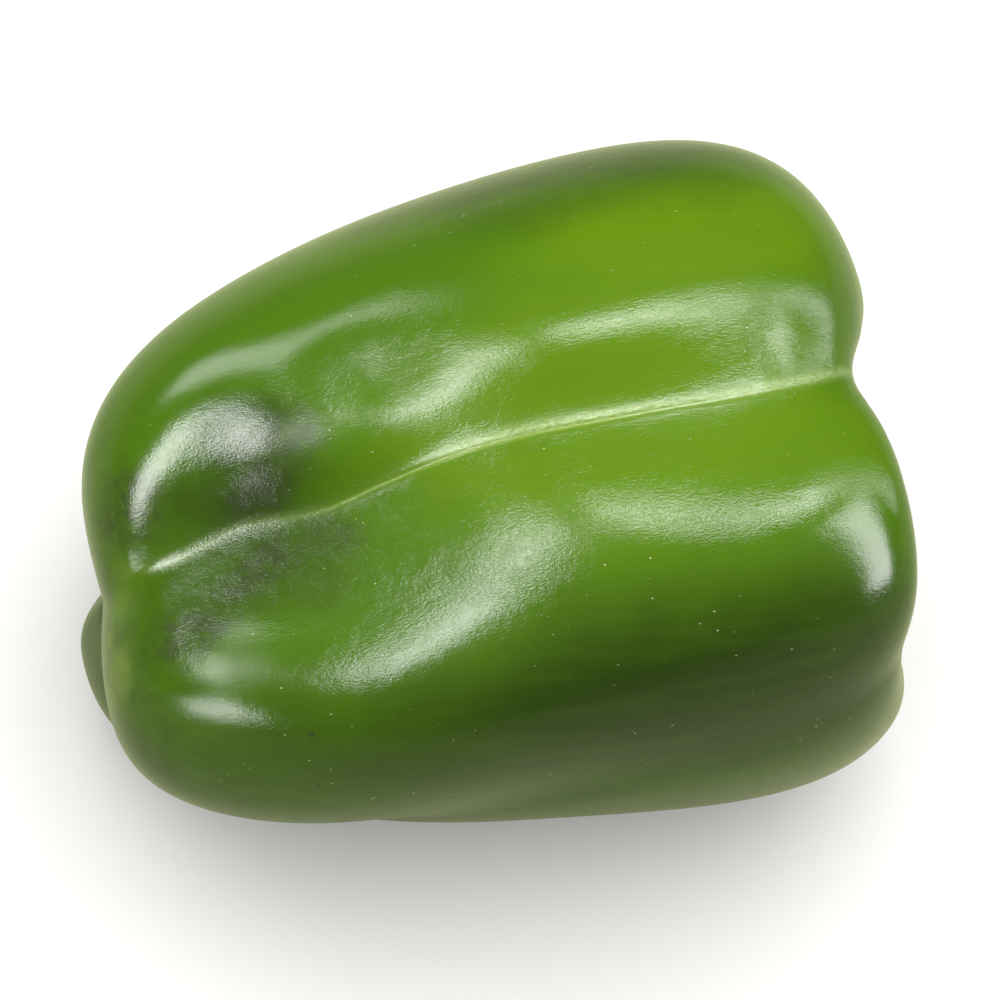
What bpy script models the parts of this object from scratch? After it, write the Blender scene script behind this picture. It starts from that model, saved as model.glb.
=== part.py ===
"""A green bell pepper with four lobes, lying on its side on two of them.

The fruit is one solid. Its long axis runs from the blossom end (-X) to the stem end (+X). The skin
is a polar formula: four lobes between four furrows, each furrow running along its own course from
end to end. The stem is a second solid: a six-pointed calyx that follows the skin at the floor of
the stem hollow, and a short ribbed stalk that was cut off a little below the shoulders.
"""

import math

import bmesh
import bpy
from mathutils import Matrix, Vector

MM = 0.001

# Angles go round the long axis in degrees: 0 faces the front (-Y), 90 is up, 180 is the back.
# A list runs evenly from the blossom end to the stem end, and a pair is (blossom, stem end).
# Lengths are in mm.
FURROWS = [
    {"name": "top", "course": (59, 74, 74.5, 77.3, 80.8, 81.7, 80.4, 81.6, 86.7),
     "depth": (5.5, 6.1, 2.6), "softness": (0.06, 0.18, 0.30), "notch": (1.8, 5.4)},
    {"name": "front", "course": (-38, -1, 18),
     "depth": (5.1, 1.2, 2.4), "softness": (0.12, 0.60, 0.50), "notch": (4.3, 3.9)},
    {"name": "bottom", "course": (-117, -96, -87),
     "depth": (6.0, 4.0, 6.0), "softness": (0.12, 0.30, 0.15), "notch": (6.0, 5.0)},
    {"name": "rear", "course": (156, 173, 179),
     "depth": (5.8, 4.0, 5.8), "softness": (0.12, 0.30, 0.15), "notch": (6.0, 5.0)},
]

# LOBES[k] lies between FURROWS[k] and the next furrow down. Its crest is its highest line, as a
# share of its width; its reach is how far it runs from the middle at each end; its brow is the
# angle off the long axis where it has risen to that reach.
LOBES = [
    {"name": "top_front", "radius": (34.2, 39.2, 41.4), "crest": 0.525, "reach": (46.7, 54.4),
     "brow": (33.4, 42.2)},
    {"name": "low_front", "radius": (31.1, 33.7, 43.5), "crest": 0.67, "reach": (55.1, 53.2),
     "brow": (39.7, 30)},
    {"name": "low_rear", "radius": (31.7, 38.3, 40.9), "crest": 0.50, "reach": (44.1, 48.4),
     "brow": (36.8, 39)},
    {"name": "top_rear", "radius": (34.1, 39.6, 44.7), "crest": 0.61, "reach": (45, 50),
     "brow": (38.5, 23)},
]

POLES = (41.0, 32.3)       # floor of the blossom dimple and of the stem hollow, from the middle
SQUARENESS = (2.9, 4.38)   # exponent of the lengthwise outline; 2 would be an ellipse
POLE_FLAT = (0.0, 6.0)     # angle off the long axis within which an end is flat
CREST_FULLNESS = 2.2       # how roundly a lobe rises from its furrows

ROLL = -0.8                # turns that settle the fruit on its two low lobes, degrees
PITCH = -5.8
FLAT_DEPTH = 0.30          # how far the resting lobes are pressed flat

FRUIT_RINGS = 44
FRUIT_COLUMNS = 88         # a multiple of four, so that a column runs along each furrow
CROWDING = 0.35            # how much closer together the columns stand at the furrows

SKIN_GAP = 0.35            # clearance between the calyx and the skin
CALYX_RADIUS = 12.5
POINT_LENGTH = 0.11        # how far the calyx points stand out, as a share of its radius
POINT_ONSET = 4            # how late, on the way out to the rim, the points begin
STEM_POINTS = 6            # calyx points, and ribs of the stalk
RIB_HEIGHT = 0.06          # as a share of the stalk's radius
STALK_BEND = (0, 0.8, -1.4)  # how far the cut end has bent aside, towards the back and down
STEM_RINGS = 26
STEM_COLUMNS = 54
SLOPE_STEP = 0.4           # half the distance over which the slope under the calyx is measured
HOLLOW_ANGLE = 30          # angle off the long axis that holds all of the stem hollow's floor
HALVINGS = 24              # steps that find a place on that floor
REST_SAMPLES = (90, 30)    # places along and across a low lobe where its height is measured

# Outline of the stem from under its centre, out to the calyx rim, back up the stalk to the cut:
# (distance from its axis, height above the skin clearance). A last value of 1 marks the calyx.
STEM_OUTLINE = [
    (0.0, 0.0, 1), (4.0, 0.0, 1), (8.0, 0.0, 1), (11.2, 0.0, 1), (CALYX_RADIUS, 0.4, 1),
    (11.6, 1.1, 1), (9.6, 1.7, 1), (7.8, 2.4, 1), (6.4, 4.0, 0), (5.3, 6.4, 0), (4.8, 9.0, 0),
    (4.6, 10.8, 0), (4.8, 12.2, 0), (5.0, 13.2, 0), (4.6, 13.7, 0), (2.4, 13.6, 0), (0.0, 13.4, 0),
]


def ease(x):
    x = min(max(x, 0.0), 1.0)
    return x * x * (3 - 2 * x)


def mix(a, b, share):
    return a + (b - a) * share


def along(values, place):
    """Reads a smooth curve through evenly spaced values. Place runs from -1 to 1."""
    spans = len(values) - 1
    at = (place + 1) / 2 * spans
    i = min(int(at), spans - 1)
    t = at - i
    before = values[i - 1] if i > 0 else 2 * values[0] - values[1]
    after = values[i + 2] if i < spans - 1 else 2 * values[-1] - values[-2]
    a, b = values[i], values[i + 1]
    slope_a = (b - before) / 2
    slope_b = (after - a) / 2
    bend = 3 * (b - a) - 2 * slope_a - slope_b
    return a + t * (slope_a + t * (bend + t * (slope_a + slope_b - 2 * (b - a))))


def rounded(share, softness):
    """A ramp from 0 to 1 whose start is rounded, as a furrow's floor is."""
    end = math.hypot(1, softness) - softness
    return (math.hypot(share, softness) - softness) / end


def lobe_point(phi, k, across):
    """The skin at an angle phi off the stem end, a share of the way across lobe k.

    Returns the place along the long axis, the distance from it, and the angle round it."""
    s = math.cos(phi)
    end = 0 if s < 0 else 1
    off_pole = math.degrees(math.pi - phi if s < 0 else phi)
    upper, lower = FURROWS[k], FURROWS[(k + 1) % 4]
    before, lobe, after = LOBES[k - 1], LOBES[k], LOBES[(k + 1) % 4]

    start = along(upper["course"], s)
    width = (start - along(lower["course"], s)) % 360
    crest = lobe["crest"]
    share = across / crest if across < crest else (1 - across) / (1 - crest)
    softness = along((upper if across < crest else lower)["softness"], s)
    rise = 1 - (1 - rounded(share, softness)) ** CREST_FULLNESS

    def between(here, last, following, cut_upper, cut_lower):
        floor = mix((last + here) / 2 - cut_upper, (here + following) / 2 - cut_lower, ease(across))
        return mix(floor, here, rise)

    radius = between(along(lobe["radius"], s), along(before["radius"], s), along(after["radius"], s),
                     along(upper["depth"], s), along(lower["depth"], s))
    reach = between(lobe["reach"][end], before["reach"][end], after["reach"][end],
                    upper["notch"][end], lower["notch"][end])
    brow = between(lobe["brow"][end], before["brow"][end], after["brow"][end], 0, 0)

    climb = ease((off_pole - POLE_FLAT[end]) / (brow - POLE_FLAT[end]))
    half_length = mix(POLES[end], reach, climb)
    n = SQUARENESS[end]
    outline = (abs(s) / half_length) ** n + (math.sin(phi) / radius) ** n
    distance = outline ** (-1 / n)
    return distance * s, distance * math.sin(phi), start - width * across


def find_lobe(phi, angle):
    """The lobe at an angle round the axis, and the share of the way across it."""
    s = math.cos(phi)
    for k in range(4):
        start = along(FURROWS[k]["course"], s)
        width = (start - along(FURROWS[(k + 1) % 4]["course"], s)) % 360
        down = (start - angle) % 360
        if down < width:
            return k, down / width
    return 0, 0.0


def hollow_floor(distance, angle):
    """How far along the axis the skin of the stem hollow is, at a distance from the axis."""
    low, high = 0.0, math.radians(HOLLOW_ANGLE)
    for _ in range(HALVINGS):
        phi = (low + high) / 2
        x, r, _angle = lobe_point(phi, *find_lobe(phi, angle))
        low, high = (phi, high) if r < distance else (low, phi)
    return x


def place(x, r, angle):
    turn = math.radians(angle)
    return Vector((x, -r * math.cos(turn), r * math.sin(turn)))


def sphere_grid(rings, columns):
    """A UV sphere with its poles on X, and each vertex's ring and column (poles: column 0)."""
    bm = bmesh.new()
    bmesh.ops.create_uvsphere(bm, u_segments=columns, v_segments=rings, radius=1)
    grid = []
    for vert in bm.verts:
        x, y, z = vert.co
        ring = round(math.acos(max(-1.0, min(1.0, z))) / math.pi * rings)
        column = round(math.atan2(y, x) / (2 * math.pi) * columns) % columns
        grid.append((vert, ring, 0 if ring in (0, rings) else column))
    return bm, grid


def fruit_mesh(settle):
    bm, grid = sphere_grid(FRUIT_RINGS, FRUIT_COLUMNS)
    per_lobe = FRUIT_COLUMNS // 4
    for vert, ring, column in grid:
        phi = math.pi * ring / FRUIT_RINGS
        k, step = divmod(column, per_lobe)
        even = step / per_lobe
        across = even - CROWDING * math.sin(2 * math.pi * even) / (2 * math.pi)
        vert.co = settle @ place(*lobe_point(phi, k, across))
        vert.co.z = max(vert.co.z, 0.0)
    return bm


def stem_mesh(settle):
    bm, grid = sphere_grid(STEM_RINGS, STEM_COLUMNS)
    top = STEM_OUTLINE[-1][1]
    for vert, ring, column in grid:
        at = 2 * ring / STEM_RINGS - 1
        radius = max(along([p[0] for p in STEM_OUTLINE], at), 0.0)
        height = along([p[1] for p in STEM_OUTLINE], at)
        calyx = ease(along([p[2] for p in STEM_OUTLINE], at))
        angle = 360 * column / STEM_COLUMNS
        wave = math.cos(math.radians(angle * STEM_POINTS))
        point = POINT_LENGTH * (abs(wave) ** 0.5 * wave) * (radius / CALYX_RADIUS) ** POINT_ONSET
        rib = RIB_HEIGHT * wave
        radius *= 1 + mix(rib, point, calyx)
        skin = hollow_floor(radius, angle)
        inner, outer = max(radius - SLOPE_STEP, 0.0), radius + SLOPE_STEP
        slope = (hollow_floor(outer, angle) - hollow_floor(inner, angle)) / (2 * SLOPE_STEP)
        clearance = SKIN_GAP * math.hypot(1, slope)
        spot = place(skin + clearance + height, radius, angle)
        vert.co = settle @ (spot + Vector(STALK_BEND) * (max(height, 0.0) / top) ** 2)
    return bm


def settled():
    """The turn and lift that lay the fruit down, pressed a little flat where it rests."""
    turn = Matrix.Rotation(math.radians(PITCH), 4, "Y") @ Matrix.Rotation(math.radians(ROLL), 4, "X")
    rings, steps = REST_SAMPLES
    lowest = []
    for k in (1, 2):
        heights = [(turn @ place(*lobe_point(math.pi * i / rings, k, j / steps))).z
                   for i in range(1, rings) for j in range(steps + 1)]
        lowest.append(min(heights))
    lift = -max(lowest) - FLAT_DEPTH
    return Matrix.Translation((0, 0, lift)) @ turn


def make_material(name, color, roughness):
    material = bpy.data.materials.new(name)
    material.use_nodes = True
    shader = material.node_tree.nodes["Principled BSDF"]
    shader.inputs["Base Color"].default_value = (*color, 1)
    shader.inputs["Roughness"].default_value = roughness
    shader.inputs["Metallic"].default_value = 0
    return material


def add_part(name, bm, material, collection, middle):
    to_row = Matrix.Scale(MM, 4) @ Matrix.Translation((-middle[0], -middle[1], 0))
    bm.transform(to_row)
    if bm.calc_volume(signed=True) < 0:
        bmesh.ops.reverse_faces(bm, faces=bm.faces)
    mesh = bpy.data.meshes.new(name)
    bm.to_mesh(mesh)
    bm.free()
    mesh.shade_smooth()
    mesh.materials.append(material)
    part = bpy.data.objects.new(name, mesh)
    collection.objects.link(part)


def main():
    for old in list(bpy.data.objects):
        bpy.data.objects.remove(old, do_unlink=True)
    collection = bpy.data.collections.new("bell_pepper")
    bpy.context.scene.collection.children.link(collection)

    settle = settled()
    fruit = fruit_mesh(settle)
    stem = stem_mesh(settle)
    middle = [(min(v.co[i] for v in fruit.verts) + max(v.co[i] for v in fruit.verts)) / 2 for i in (0, 1)]
    add_part("fruit", fruit, make_material("skin", (0.10, 0.27, 0.02), 0.28), collection, middle)
    add_part("stem", stem, make_material("stem_green", (0.22, 0.34, 0.08), 0.6), collection, middle)


main()
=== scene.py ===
import math

import bpy
import numpy as np
from mathutils import Matrix, Quaternion, Vector


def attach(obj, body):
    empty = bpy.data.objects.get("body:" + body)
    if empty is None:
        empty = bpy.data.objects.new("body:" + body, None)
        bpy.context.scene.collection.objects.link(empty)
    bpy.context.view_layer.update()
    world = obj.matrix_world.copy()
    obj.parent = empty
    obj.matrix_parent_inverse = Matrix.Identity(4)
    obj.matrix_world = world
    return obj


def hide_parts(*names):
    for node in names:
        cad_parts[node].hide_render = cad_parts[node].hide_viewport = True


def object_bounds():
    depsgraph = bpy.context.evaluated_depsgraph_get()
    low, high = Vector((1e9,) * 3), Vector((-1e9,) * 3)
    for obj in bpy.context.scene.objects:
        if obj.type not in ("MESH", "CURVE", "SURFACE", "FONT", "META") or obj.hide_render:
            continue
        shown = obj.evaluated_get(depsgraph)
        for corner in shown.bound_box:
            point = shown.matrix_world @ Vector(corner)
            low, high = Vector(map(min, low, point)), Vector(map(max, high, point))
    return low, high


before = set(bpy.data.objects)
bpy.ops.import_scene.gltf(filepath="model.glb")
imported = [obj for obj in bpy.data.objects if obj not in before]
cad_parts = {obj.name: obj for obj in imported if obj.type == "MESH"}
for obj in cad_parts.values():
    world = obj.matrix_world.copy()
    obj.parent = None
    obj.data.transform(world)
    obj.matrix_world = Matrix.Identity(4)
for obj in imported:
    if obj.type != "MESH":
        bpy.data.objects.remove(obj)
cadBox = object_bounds()
cadMiddle = (Vector(cadBox[0]) + Vector(cadBox[1])) / 2
millimetre = 0.001
print("frame loaded")


class Wire:
    # one value or colour on its way through a material; arithmetic on it adds Math nodes
    def __init__(self, tree, socket):
        self.tree = tree
        self.socket = socket

    def node(self, kind, settings=None, sockets=None, out=0):
        # adds any node: its settings first, then the values or links of its sockets
        made = self.tree.nodes.new(kind)
        for name, value in (settings or {}).items():
            setattr(made, name, value)
        for name, value in (sockets or {}).items():
            if isinstance(value, Wire):
                self.tree.links.new(value.socket, made.inputs[name])
            else:
                made.inputs[name].default_value = value
        return Wire(self.tree, made.outputs[out])

    def math(self, operation, other, third=0.0):
        return self.node("ShaderNodeMath", {"operation": operation}, {0: self, 1: other, 2: third})

    def __add__(self, other):
        return self.math("ADD", other)

    def __sub__(self, other):
        return self.math("SUBTRACT", other)

    def __rsub__(self, other):
        return self.math("MULTIPLY_ADD", -1.0, other)

    def __mul__(self, other):
        return self.math("MULTIPLY", other)

    __radd__ = __add__
    __rmul__ = __mul__

    def vector(self, operation, other=(0, 0, 0), out="Vector"):
        return self.node("ShaderNodeVectorMath", {"operation": operation}, {0: self, 1: other}, out)

    def axis(self, name):
        return self.node("ShaderNodeSeparateXYZ", None, {0: self}, name)

    def ease(self, low, high, bottom=0.0, top=1.0):
        # a smooth step from bottom to top as the value goes from low to high
        return self.node("ShaderNodeMapRange", {"interpolation_type": "SMOOTHSTEP"}, {
            "Value": self, "From Min": low, "From Max": high, "To Min": bottom, "To Max": top,
        })

    def stretch(self, scale):
        return self.vector("MULTIPLY", scale)

    def noise(self, scale, detail, roughness, out="Fac"):
        # the scale is in waves a millimetre; "Color" gives three noises at once, as a vector
        return self.node("ShaderNodeTexNoise", None,
                         {"Vector": self, "Scale": scale, "Detail": detail, "Roughness": roughness}, out)

    def shifted(self, scale, reach):
        # the place moved about by a noise, whose reach is given for each axis
        return self.vector("ADD", self.noise(scale, 2.0, 0.5, "Color").stretch(reach))

    def cells(self, scale):
        # scattered cells: the distance from each one's middle, and three random values each
        distance = self.node("ShaderNodeTexVoronoi", None, {"Vector": self, "Scale": scale})
        return distance, Wire(self.tree, distance.socket.node.outputs["Color"])

    def near(self, centre, size):
        # 1 at a place on the piece, falling smoothly to 0 at a distance given for each axis
        away = self.vector("SUBTRACT", centre).vector("DIVIDE", size).vector("LENGTH", out="Value")
        return away.ease(0.0, 1.0, 1.0, 0.0)

    def painted(self, name):
        # the value that a piece's vertices carry under this name
        return self.node("ShaderNodeAttribute", {"attribute_name": name}, None, "Fac")


def blend(base, top, share):
    # lays one colour over another by a share, which is a wire; each colour may be a wire too
    tree = share.tree
    mixer = tree.nodes.new("ShaderNodeMix")
    mixer.data_type = "RGBA"
    # a Mix node's sockets for colours are inputs 6 and 7 and output 2; their names aren't unique
    for socket, value in ((mixer.inputs[0], share), (mixer.inputs[6], base), (mixer.inputs[7], top)):
        if isinstance(value, Wire):
            tree.links.new(value.socket, socket)
        else:
            socket.default_value = (*value, 1)
    return Wire(tree, mixer.outputs[2])


def startMaterial(name):
    material = bpy.data.materials.new(name)
    material.use_nodes = True
    return material, material.node_tree.nodes["Principled BSDF"]


def placeOn(material):
    # the place on the piece that wears the material, in millimetres
    tree = material.node_tree
    coords = tree.nodes.new("ShaderNodeTexCoord")
    return Wire(tree, coords.outputs["Object"]).stretch([1 / millimetre] * 3)


def connect(shader, wires):
    for name, wire in wires.items():
        wire.tree.links.new(wire.socket, shader.inputs[name])


# The skin of the fruit. Places on it are in millimetres, as (x, y, z).
skin = {
    "deep": (0.020, 0.050, 0.003),
    "green": (0.046, 0.111, 0.002),
    "sunny": (0.073, 0.154, 0.0008),
    # the shade colour is painted shade, laid on in patches and on the front lobe's lower side
    "shade": (0.012, 0.027, 0.002),
    "smudge": (0.027, 0.032, 0.014),
    # pale serves both as the crease's own pale line and as a painted reflection on one rim
    "pale": (0.26, 0.34, 0.05),
    "dust": (0.62, 0.66, 0.42),
    # the pale seam beside the crease, partly a painted highlight along the furrow
    "seamHighlight": (0.36, 0.44, 0.20),
    "scar": (0.13, 0.085, 0.035),
    "roughness": 0.13,
    "ior": 1.34,
    "wrinkle": 0.26,            # strength of the fine lengthwise wrinkles
    "wrinkleHeight": 0.12,
    "creaseDepth": 0.11,
    "creaseWidth": 0.22,
    "creaseStrip": 3.5,         # how far to each side of the crease the faces are finer,
    "stripFloor": 36,           # and down to what height
    "seamHighlightAside": 0.55,          # how far behind the crease its pale seam, partly a painted highlight, lies
    "seamHighlightWidth": 0.6,
    "greenHeights": (22, 74),   # the skin turns lighter upwards between these heights, its darker lower part partly painted shade
    # the front's darkening below is partly painted shade and partly the skin's own darker green
    "frontReach": (20, 33),     # the front is darker from here outwards,
    "frontHeights": (34, 48),   # from here upwards,
    "frontAlong": (-44, 8),     # and more so from here to here along x
}

# The blossom end: a dent round the scar, a small nub in its middle and a ring of pleats
blossom = {
    "dent": 0.6,
    "dentRadius": 3.4,
    "nub": 0.75,
    "nubRadius": 1.2,
    "pleats": 9,
    "pleatDepth": 0.09,
    "pleatRing": 4,
    "pleatReach": 2.5,
    "scarRadius": 1.9,
}

# The crease and its seam are only on the upper side. The crease fades in between these heights,
# and from the stem end inwards between these places along x.
creaseHeights = (44, 52)
creaseEnd = (38, 28)

# The line along the floor of the top furrow, as (x, y)
creaseCourse = [(-47, -5.2), (-42, -6.8), (-33, -6.2), (-24, -7.1), (-17, -6.1), (-10, -5.3),
                (-3, -5.2), (10, -5.6), (24, -5.4), (31, -4.3), (36, -2.6)]

# How plain the crease is along its way, as (x, strength)
creaseStrength = [(-47, 0.15), (-28, 0.2), (-20, 1), (3, 1), (14, 0.35), (38, 0.3)]

# How plain the pale seam beside the crease is, as (x, strength); the seam is partly the skin's own pale
# line and partly a painted highlight along the furrow
seamHighlightStrength = [(-46, 0), (-40, 0.3), (-28, 0.25), (-21, 0), (-13, 0.1), (-9, 0.9), (6, 0.85), (16, 0.6),
                (34, 0.75), (40, 0)]

# Shallow hollows in the skin, or low swellings where the depth is negative:
# (middle, half width across, half width lengthwise, depth)
presses = [
    # the front lobe, from the blossom end to the stem end
    ((-38, -12, 60), 10, 27, 1.3),
    ((-37, -20, 53), 4, 4, -0.4),
    ((-32, -15, 54), 5, 11, 0.8),
    ((-27, -20, 60), 9, 22, 1.3),
    ((-18, -30, 54), 9, 26, -1.1),
    ((-12, -21, 65), 11, 15, 1.2),
    ((20, -25, 67), 8, 9, -0.7),
    ((24, -11, 73), 10, 18, 1.3),
    # beside the furrow
    ((-32, -4, 58), 8, 20, 0.9),
    ((-14, -2, 64), 7, 18, -1.0),
    # the top lobe, from the blossom end to the stem end
    ((-42, 0, 60), 11, 9, 1.2),
    ((-33, 3, 64), 7, 7, 0.9),
    ((-19, 5, 69), 7, 22, 0.9),
    ((-17, 3, 66), 8, 8, 1.3),
    ((-5, 8, 67), 14, 14, -1.1),
    ((4, 4, 70), 5, 7, -0.6),
    ((27, 10, 71), 13, 11, 1.0),
    # the shoulders at the stem end
    ((45, -5, 62), 11, 9, -1.1),
    ((47, -24, 56), 14, 9, -0.7),
]


def creaseAt(x):
    # the crease's y at any x, on a smooth curve through its course
    stations, sides = np.array(creaseCourse, float).T
    slopes = np.gradient(sides, stations)
    at = np.clip(np.searchsorted(stations, x) - 1, 0, len(stations) - 2)
    span = stations[at + 1] - stations[at]
    way = np.clip((x - stations[at]) / span, 0, 1)
    here = sides[at] * (1 + 2 * way) + slopes[at] * span * way
    there = sides[at + 1] * (3 - 2 * way) + slopes[at + 1] * span * (way - 1)
    return here * (1 - way) ** 2 + there * way * way


def fade(values, gone, full):
    # 0 at the first value, 1 at the second, straight in between
    return np.clip((values - gone) / (full - gone), 0, 1)


def hump(distances, width):
    # 1 at no distance, falling off as a bell curve
    return np.exp(-(distances / width) ** 2)


def atX(places, rows):
    # reads a list of (x, value) at every place
    return np.interp(places[:, 0], *zip(*rows))


def verticesOf(piece):
    flat = np.empty(len(piece.data.vertices) * 3)
    piece.data.vertices.foreach_get("co", flat)
    return flat.reshape(-1, 3) / millimetre


def normalsOf(piece):
    flat = np.empty(len(piece.data.vertices) * 3)
    piece.data.vertex_normals.foreach_get("vector", flat)
    return flat.reshape(-1, 3)


def moveVertices(piece, places):
    piece.data.vertices.foreach_set("co", (places * millimetre).ravel())
    piece.data.update()


def addAttribute(piece, name, values):
    layer = piece.data.attributes.new(name, "FLOAT", "POINT")
    layer.data.foreach_set("value", values.astype(np.float32))


def smoothOnce(piece):
    # needs the piece to be the active object
    fine = piece.modifiers.new("fine", "SUBSURF")
    fine.levels = 1
    fine.render_levels = 1
    bpy.ops.object.modifier_apply(modifier="fine")


mergeDistance = 0.005
quadAngle = math.radians(60)


def copyOfNode(nodeName, pieceName):
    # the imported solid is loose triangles: a copy is merged and turned to quads
    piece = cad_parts[nodeName].copy()
    piece.data = piece.data.copy()
    piece.name = pieceName
    piece.data.name = pieceName
    piece.parent = None
    bpy.context.scene.collection.objects.link(piece)
    bpy.ops.object.select_all(action="DESELECT")
    piece.select_set(True)
    bpy.context.view_layer.objects.active = piece
    piece.data.materials.clear()
    bpy.ops.object.mode_set(mode="EDIT")
    bpy.ops.mesh.select_all(action="SELECT")
    bpy.ops.mesh.remove_doubles(threshold=mergeDistance * millimetre)
    bpy.ops.mesh.tris_convert_to_quads(face_threshold=quadAngle, shape_threshold=quadAngle)
    bpy.ops.object.mode_set(mode="OBJECT")
    return piece


def splitCreaseStrip(piece):
    # more faces in a narrow strip along the crease, which is finer than the rest
    places = verticesOf(piece)
    close = np.abs(places[:, 1] - creaseAt(places[:, 0])) < skin["creaseStrip"]
    close &= places[:, 2] > skin["stripFloor"]
    bpy.ops.object.mode_set(mode="EDIT")
    bpy.ops.mesh.select_all(action="DESELECT")
    bpy.ops.object.mode_set(mode="OBJECT")
    for face in piece.data.polygons:
        face.select = all(close[v] for v in face.vertices)
    bpy.ops.object.mode_set(mode="EDIT")
    bpy.ops.mesh.subdivide(number_cuts=1)
    bpy.ops.object.mode_set(mode="OBJECT")


def blossomPole(piece):
    # the far end's pole is where the most edges meet
    meeting = np.zeros(len(piece.data.vertices), int)
    for edge in piece.data.edges:
        meeting[list(edge.vertices)] += 1
    places = verticesOf(piece)
    meeting[places[:, 0] > 0] = 0
    print("blossom pole at", places[meeting.argmax()].round(1), "edges", meeting.max())
    return places[meeting.argmax()]


def pressedIn(places):
    depths = np.zeros(len(places))
    for middle, across, lengthwise, depth in presses:
        away = (places - np.array(middle)) / np.array([lengthwise, across, across])
        depths += depth * np.exp(-(away ** 2).sum(axis=1))
    return depths


def blossomDent(fromPole, turn):
    dent = blossom["dent"] * hump(fromPole, blossom["dentRadius"])
    nub = blossom["nub"] * hump(fromPole, blossom["nubRadius"])
    onRing = hump(fromPole - blossom["pleatRing"], blossom["pleatReach"])
    return dent - nub + blossom["pleatDepth"] * np.cos(blossom["pleats"] * turn) * onRing


def shapeSkin(piece, pole):
    places = verticesOf(piece)
    outward = normalsOf(piece)
    offCrease = (places[:, 1] - creaseAt(places[:, 0])) / skin["creaseWidth"]
    onTop = fade(places[:, 2], *creaseHeights) * fade(places[:, 0], *creaseEnd)
    onTop = onTop * atX(places, creaseStrength)
    crease = skin["creaseDepth"] * np.exp(-np.abs(offCrease) ** 1.5) * onTop
    fromPole = np.linalg.norm(places - pole, axis=1)
    turn = np.arctan2(places[:, 1] - pole[1], places[:, 2] - pole[2])
    inward = pressedIn(places) + crease + blossomDent(fromPole, turn)
    places = places - outward * inward[:, None]
    places[:, 2] = np.maximum(places[:, 2], 0)          # nothing goes below the table
    moveVertices(piece, places)
    addAttribute(piece, "crease", hump(offCrease, 1) * onTop)
    addAttribute(piece, "scar", fade(fromPole, blossom["scarRadius"], blossom["scarRadius"] - 1))
    # a pale band just behind the crease: partly the skin's own pale seam, partly a painted highlight
    # along the furrow
    behindCrease = places[:, 1] - creaseAt(places[:, 0])
    seamHighlight = hump(behindCrease - skin["seamHighlightAside"], skin["seamHighlightWidth"]) * atX(places, seamHighlightStrength)
    addAttribute(piece, "seamHighlight", seamHighlight * (places[:, 2] > creaseHeights[0]))


# Patches of colour: (colour, middle, half size each way, strength). The shade patches are painted shade,
# and the pale patch is a painted reflection.
patches = [
    ("sunny", (6, -5, 70), (44, 25, 20), 1.0),
    ("sunny", (22, 14, 74), (38, 15, 14), 0.9),
    ("sunny", (30, -12, 68), (26, 12, 12), 0.5),
    # painted shade on the far side of the top lobe and along its top edge
    ("shade", (14, 31, 62), (60, 15, 18), 0.7),
    ("shade", (14, 23, 73), (60, 10, 11), 0.25),
    # painted shade along the furrow near the blossom end, and under the top lobe's highlight there
    ("shade", (-30, -9, 54), (24, 12, 14), 0.45),
    ("shade", (-36, -3, 58), (18, 9, 9), 0.6),
    ("shade", (-34, 3.5, 62), (12, 7, 8), 0.7),
    ("sunny", (-46, -7, 47), (7, 5, 9), 0.6),
    # a painted reflection: a pale band along the front lobe's rim at the blossom end
    ("pale", (-47.5, -13, 40), (4, 9, 12), 0.24),
]

# Dark smudges, mottled: (middle, half size each way, strength)
smudges = [
    ((-28, 0.5, 63.5), (9, 6, 7), 0.75),
    ((-33, -4, 59), (13, 5, 8), 0.8),
    ((-44, -1, 53), (7, 7, 9), 0.8),
    ((-33, -10.5, 56.5), (12, 4.5, 7), 0.9),
    ((-40, -14.5, 52), (10, 5, 8), 0.8),
    ((-22, -9.5, 60.5), (8, 4, 6), 0.5),
]

# Duller spots: (middle, half size each way, added roughness)
dullSpots = [
    ((-37, -20.5, 53), (8, 6, 6), 0.26),
    ((-25.5, 0, 64), (6, 4.5, 5), 0.2),
    ((-45, -6, 54), (4, 4, 6), 0.22),
]


def skinColour(place):
    # loose is the place with a wandering shift, which gives the patches of colour uneven edges
    wander = place.noise(0.09, 3.0, 0.55, "Color").vector("SUBTRACT", (0.5, 0.5, 0.5))
    loose = place.vector("ADD", wander.stretch((14, 7, 8)))
    height = loose.axis("Z")
    forward = loose.axis("Y") * -1
    streaks = place.stretch((0.05, 0.5, 0.5)).noise(1.0, 4.0, 0.62)
    patchy = place.stretch((0.5, 1, 1)).noise(0.12, 4.0, 0.6)

    # lighter with height, the darker lower skin being partly painted shade, and then patch by patch
    green = height.ease(*skin["greenHeights"]) * 0.75 + streaks * 0.35 + patchy * 0.35 - 0.28
    colour = blend(skin["deep"], skin["green"], green.ease(0.05, 0.62))
    uneven = patchy * 0.5 + streaks * 0.3 + 0.6
    for name, middle, size, strength in patches:
        share = loose.near(middle, size).ease(0.02, 0.75) * uneven * strength
        colour = blend(colour, skin[name], share.math("MINIMUM", 1.0))

    # painted shade darkens the front lobe's lower side, together with its own darker green there
    frontShade = forward.ease(*skin["frontReach"]) * height.ease(*skin["frontHeights"])
    frontShade = frontShade * loose.axis("X").ease(*skin["frontAlong"], 0.45, 0.95)
    colour = blend(colour, skin["shade"], frontShade * (streaks * 0.7 + 0.62).math("MINIMUM", 1.0))

    mottle = place.stretch((0.7, 1, 1)).noise(0.75, 4.0, 0.72).ease(0.36, 0.60)
    for middle, size, strength in smudges:
        mark = loose.near(middle, size).ease(0.05, 0.85)
        colour = blend(colour, skin["smudge"], mark * (mottle * 0.55 + 0.3) * strength)
    return blend(colour, skin["pale"], place.painted("crease") * 0.3)


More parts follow.
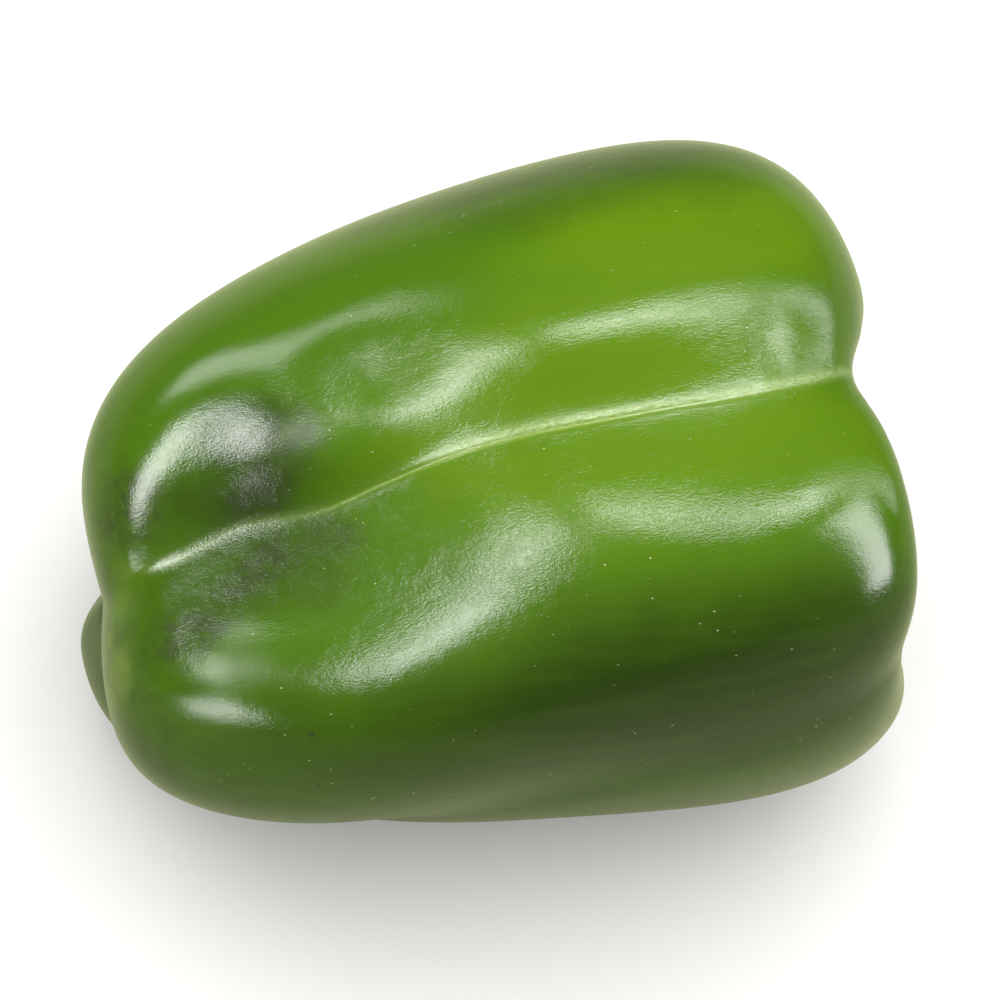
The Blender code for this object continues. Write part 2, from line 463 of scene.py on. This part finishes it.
# Marks in the middle of scattered cells. There are this many cells a millimetre, a mark fades in
# between two distances from the middle, in cells, and only the luckier cells have one.
dust = {
    "grainCells": 1.15,
    "grainEdge": (0.09, 0.035),
    "grainLuck": (0.60, 0.64),
    "scratchCells": 0.33,
    "scratchEdge": (0.055, 0.03),
    "scratchLuck": (0.86, 0.88),
    "pinCells": 0.11,
    "pinEdge": (0.045, 0.03),
}


def addDust(place, colour):
    # pale grains in clumps, longer pale scratches, and a few dark pin dots
    grains, luck = place.stretch((0.40, 1, 1)).cells(dust["grainCells"])
    chosen = luck.axis("X").ease(*dust["grainLuck"])
    clumps = place.noise(0.10, 2.0, 0.5).ease(0.47, 0.62, 0.25, 1.0)
    colour = blend(colour, skin["dust"], grains.ease(*dust["grainEdge"]) * chosen * clumps * 0.7)

    bent = place.shifted(0.25, (5, 5, 5)).stretch((0.10, 1, 1))
    scratches, luck = bent.cells(dust["scratchCells"])
    rare = luck.axis("Y").ease(*dust["scratchLuck"])
    colour = blend(colour, skin["dust"], scratches.ease(*dust["scratchEdge"]) * rare * 0.5)

    pins = place.cells(dust["pinCells"])[0]
    return blend(colour, skin["smudge"], pins.ease(*dust["pinEdge"]) * 0.9)


def skinMaterial():
    material, shader = startMaterial("pepperSkin")
    place = placeOn(material)
    colour = addDust(place, skinColour(place))
    grain = place.stretch((0.6, 1.3, 1.3)).noise(2.4, 3.0, 0.7).ease(0.38, 0.58, 0.45, 1.0)
    # the pale seam beside the crease, partly a painted highlight
    colour = blend(colour, skin["seamHighlight"], place.painted("seamHighlight") * grain * 0.6)
    colour = blend(colour, skin["scar"], place.painted("scar") * 0.9)

    # fine wrinkles, some stretches calmer than others, over a low swell
    ripple = place.shifted(0.4, (1.6, 1.0, 1.0)).stretch((0.52, 1.35, 1.35)).noise(3.5, 2.5, 0.66)
    swell = place.stretch((0.4, 1, 1)).noise(0.5, 2.0, 0.5)
    calm = place.noise(0.06, 1.0, 0.5).ease(0.30, 0.68, 0.55, 1.15)
    bump = place.node("ShaderNodeBump", None, {
        "Strength": skin["wrinkle"],
        "Distance": skin["wrinkleHeight"] * millimetre,
        "Height": ripple * calm + swell * 0.9,
    })
    roughness = skin["roughness"]
    for middle, size, added in dullSpots:
        roughness = place.near(middle, size) * added + roughness
    shader.inputs["IOR"].default_value = skin["ior"]
    connect(shader, {"Base Color": colour, "Roughness": roughness, "Normal": bump})
    return material


def makeFruit():
    piece = copyOfNode("fruit", "fruitSkin")
    pole = blossomPole(piece)
    smoothOnce(piece)
    splitCreaseStrip(piece)
    smoothOnce(piece)
    bpy.ops.object.shade_smooth()
    shapeSkin(piece, pole)
    piece.data.materials.append(skinMaterial())
    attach(piece, "root")
    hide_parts("fruit")
    print("fruit made:", len(piece.data.polygons), "faces")


stalk = {
    "green": (0.085, 0.150, 0.020),
    "rib": (0.200, 0.270, 0.070),
    "shade": (0.030, 0.055, 0.008),
    "cork": (0.200, 0.130, 0.045),
    "cut": (0.400, 0.330, 0.150),
    "pith": (0.520, 0.470, 0.280),
    "roughness": 0.5,
    "fibreHeight": 0.2,
    "cutFacing": 0.93,          # the cut face is what looks this much along +X,
    "tipDepth": 2.5,            # and lies no deeper than this below the far end
    "footDepth": 3,             # how far from its near end the stem's foot reaches
    "stalkRadii": (6.6, 5.4),   # the stalk's marks fade in between these radii,
    "cutRadii": (5.2, 4.7),     # and those of the cut end between these
    "cutHeights": (-0.75, -0.3),
    "ribs": 11,
    "ribHeight": 0.16,
    "ribWander": 0.9,           # how far the ribs stray round the stalk
    "veins": 30,
    "veinHeight": 0.05,
    "veinReach": 12,
    "veinWander": 2.5,          # how far they bend, and how often on the way out
    "veinWaves": 0.9,
    "cutDip": 0.35,
    "dipRadius": 4.2,
    "cracks": 7,
    "crackDepth": 0.10,
    "crackWander": 3,
    "crackWaves": 2.1,
    "rings": 5.5,               # rings in the cut end, how close together and how deep
    "ringDepth": 0.06,
    "rimRadii": (11.0, 13.2),   # the calyx turns corky between these
}


def stalkFrame(places, outward):
    # gives the stalk's direction and the middle of its cut end, and every vertex's share of the way
    # up from the foot, distance from the stalk's own line and angle round that line
    nearTip = places[:, 0] > places[:, 0].max() - stalk["tipDepth"]
    cutFace = (outward[:, 0] > stalk["cutFacing"]) & nearTip
    along = outward[cutFace].mean(axis=0)
    along /= np.linalg.norm(along)
    top = places[cutFace].mean(axis=0)
    foot = places[places[:, 0] < places[:, 0].min() + stalk["footDepth"]].mean(axis=0)
    rise = (places - foot) @ along / ((top - foot) @ along)
    out = places - foot - (top - foot) * np.clip(rise, 0, 1)[:, None]
    out = out - (out @ along)[:, None] * along
    side = np.cross(along, (0, 0, 1))
    side /= np.linalg.norm(side)
    angle = np.arctan2(out @ side, out @ np.cross(side, along))
    return along, top, rise, np.linalg.norm(out, axis=1), angle


def shapeStem(piece):
    # ribs up the stalk, fine veins on the calyx and a dished, cracked cut end
    places = verticesOf(piece)
    outward = normalsOf(piece)
    along, top, rise, radius, angle = stalkFrame(places, outward)
    onCut = fade((places - top) @ along, *stalk["cutHeights"]) * fade(radius, *stalk["cutRadii"])
    onStalk = fade(radius, *stalk["stalkRadii"]) * (1 - onCut)
    ribs = np.cos(angle * stalk["ribs"] + stalk["ribWander"] * np.sin(2 * angle) + rise)
    veinBend = stalk["veinWander"] * np.sin(radius * stalk["veinWaves"])
    veins = np.cos(angle * stalk["veins"] + veinBend)
    veins = veins * (1 - onStalk) * (radius < stalk["veinReach"])
    lift = stalk["ribHeight"] * ribs * onStalk + stalk["veinHeight"] * veins * (1 - onCut)
    crackBend = stalk["crackWander"] * np.sin(radius * stalk["crackWaves"])
    cracks = stalk["crackDepth"] * np.cos(angle * stalk["cracks"] + crackBend)
    cracks += stalk["ringDepth"] * np.cos(radius * stalk["rings"])
    dip = stalk["cutDip"] * np.clip(1 - (radius / stalk["dipRadius"]) ** 2, 0, 1)
    lift -= onCut * (dip + np.abs(cracks))
    moveVertices(piece, places + outward * lift[:, None])
    addAttribute(piece, "cut", onCut)
    addAttribute(piece, "rib", np.clip(ribs * 0.5 + 0.5, 0, 1) * onStalk)
    addAttribute(piece, "radius", radius)
    addAttribute(piece, "stalk", onStalk)


def stemMaterial():
    material, shader = startMaterial("stemGreen")
    place = placeOn(material)
    cut, rib, radius, onStalk = (place.painted(name) for name in ("cut", "rib", "radius", "stalk"))
    fibres = place.stretch((0.35, 1.2, 1.2)).noise(1.1, 4.0, 0.65)
    coarse = place.noise(0.25, 3.0, 0.6)
    colour = blend(stalk["shade"], stalk["green"], (fibres * 0.6 + coarse * 0.7).ease(0.35, 0.85))
    colour = blend(colour, stalk["rib"], rib * 0.55 * fibres.ease(0.25, 0.7))
    colour = blend(colour, stalk["cork"], coarse.ease(0.56, 0.70) * 0.4 * onStalk)
    colour = blend(colour, stalk["cork"], radius.ease(*stalk["rimRadii"]) * 0.35)

    # the cut end: pale pith in the middle, a corky rim and corky blotches
    cutColour = blend(stalk["pith"], stalk["cut"], radius.ease(0.8, 3.0))
    cutColour = blend(cutColour, stalk["cork"], radius.ease(3.4, 4.9) * 0.9)
    blotches = place.noise(1.6, 4.0, 0.7).ease(0.48, 0.66)
    cutColour = blend(cutColour, stalk["cork"], blotches * 0.6)
    colour = blend(colour, cutColour, cut.ease(0.2, 0.8))
    bump = place.node("ShaderNodeBump", None, {
        "Strength": 0.35,
        "Distance": stalk["fibreHeight"] * millimetre,
        "Height": fibres,
    })
    shader.inputs["Roughness"].default_value = stalk["roughness"]
    connect(shader, {"Base Color": colour, "Normal": bump})
    return material


def makeStem():
    piece = copyOfNode("stem", "stemAndCalyx")
    smoothOnce(piece)
    smoothOnce(piece)
    bpy.ops.object.shade_smooth()
    shapeStem(piece)
    piece.data.materials.append(stemMaterial())
    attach(piece, "root")
    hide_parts("stem")
    print("stem made:", len(piece.data.polygons), "faces")


makeFruit()
makeStem()

# The table, the light and the camera. A direction is (compass angle, height), in degrees, as seen
# from the pepper: 0 is the front (-Y) and 90 the stem end (+X).
table = {
    "size": 6.0,
    "colour": (0.67, 0.665, 0.66),
    "mirroredColour": (0.42, 0.44, 0.27),
    "mirroredHeight": 0.02 * millimetre,
    "roughness": 0.9,
}
room = {"glow": (0.24, 0.243, 0.20), "windowDistance": 1.1}

# Each window is a glowing strip between two directions, so many degrees wide. The two that light
# the table and the skin aren't mirrored, and the others are seen only mirrored in the skin.
windows = [
    {"name": "skylight", "from": (112, 52), "to": (-112, 52), "width": 55, "glow": 0.85, "lights": True},
    {"name": "ceilingGlow", "from": (0, 40), "to": (180, 40), "width": 100, "glow": 2.5, "lights": True},
    {"name": "frontWindow", "from": (-78, 69), "to": (-54.5, 51), "width": 7.5, "glow": 27},
    {"name": "leftWindow", "from": (-95, 41), "to": (-73, 23), "width": 13.5, "glow": 29},
    {"name": "ceilingLight", "from": (-81, 79), "to": (89.5, 59.5), "width": 7.3, "glow": 26},
    {"name": "rightWindow", "from": (76.5, 51), "to": (52, 2), "width": 18, "glow": 18},
    {"name": "rightBlind", "from": (99.5, 63.5), "to": (93.5, 2), "width": 4, "glow": 16},
    {"name": "backWall", "from": (-136, 57), "to": (-131, 18), "width": 17, "glow": 9.5},
    {"name": "lowWindow", "from": (-64, -3.5), "to": (-49.5, 12.5), "width": 11, "glow": 20},
]
cameraLook = {
    "azimuth": -25.67,
    "elevation": 64.43,
    "roll": 15.08,
    "distance": 0.450,
    "lens": 140.0,
    "aim": (0.0008, 0.0021, 0.0344),
    "nearest": 0.01,
}


def direction(azimuth, elevation):
    around = math.radians(azimuth)
    up = math.radians(elevation)
    return Vector((math.sin(around) * math.cos(up), -math.cos(around) * math.cos(up), math.sin(up)))


def makeTable(name, height, colour):
    bpy.ops.object.select_all(action="DESELECT")
    bpy.ops.mesh.primitive_plane_add(size=table["size"], location=(0, 0, height))
    top = bpy.context.object
    top.name = name
    material, shader = startMaterial(name)
    shader.inputs["Base Color"].default_value = (*colour, 1)
    shader.inputs["Roughness"].default_value = table["roughness"]
    shader.inputs["Specular IOR Level"].default_value = 0.0
    top.data.materials.append(material)
    return top


def makeWindow(window):
    start = direction(*window["from"]) * room["windowDistance"]
    end = direction(*window["to"]) * room["windowDistance"]
    middle = (start + end) / 2
    lengthwise = (end - start).normalized()
    facing = middle.normalized()                # a light shines down its own -Z
    across = facing.cross(lengthwise)
    light = bpy.data.lights.new(window["name"], "AREA")
    light.shape = "RECTANGLE"
    light.size = (end - start).length
    light.size_y = 2 * middle.length * math.tan(math.radians(window["width"] / 2))
    light.energy = window["glow"] * math.pi * light.size * light.size_y     # the same glow at any size
    lamp = bpy.data.objects.new(window["name"], light)
    turn = Matrix((lengthwise, across, facing)).transposed().to_4x4()
    lamp.matrix_world = Matrix.Translation(middle + Vector((0, 0, cadMiddle.z))) @ turn
    lights = window.get("lights", False)
    lamp.visible_diffuse = lights
    lamp.visible_glossy = not lights
    bpy.context.scene.collection.objects.link(lamp)


def makeCamera():
    camera = bpy.data.objects.new("camera", bpy.data.cameras.new("camera"))
    camera.data.lens = cameraLook["lens"]
    camera.data.clip_start = cameraLook["nearest"]
    back = direction(cameraLook["azimuth"], cameraLook["elevation"])
    camera.location = Vector(cameraLook["aim"]) + back * cameraLook["distance"]
    roll = Quaternion((0, 0, 1), math.radians(cameraLook["roll"]))
    camera.rotation_mode = "QUATERNION"
    camera.rotation_quaternion = (-back).to_track_quat("-Z", "Y") @ roll
    bpy.context.scene.collection.objects.link(camera)
    bpy.context.scene.camera = camera


# The skin mirrors a darker, greener table than the one that is seen, a hair above it.
tableTop = makeTable("tableTop", 0, table["colour"])
tableTop.visible_glossy = False
mirrored = makeTable("mirroredTable", table["mirroredHeight"], table["mirroredColour"])
mirrored.visible_camera = False
mirrored.visible_diffuse = False
mirrored.visible_shadow = False
for window in windows:
    makeWindow(window)
makeCamera()
world = bpy.data.worlds.new("room")
world.use_nodes = True
world.node_tree.nodes["Background"].inputs["Color"].default_value = (*room["glow"], 1)
bpy.context.scene.world = world
bpy.context.scene.view_settings.view_transform = "Standard"
print("table, light and camera set")
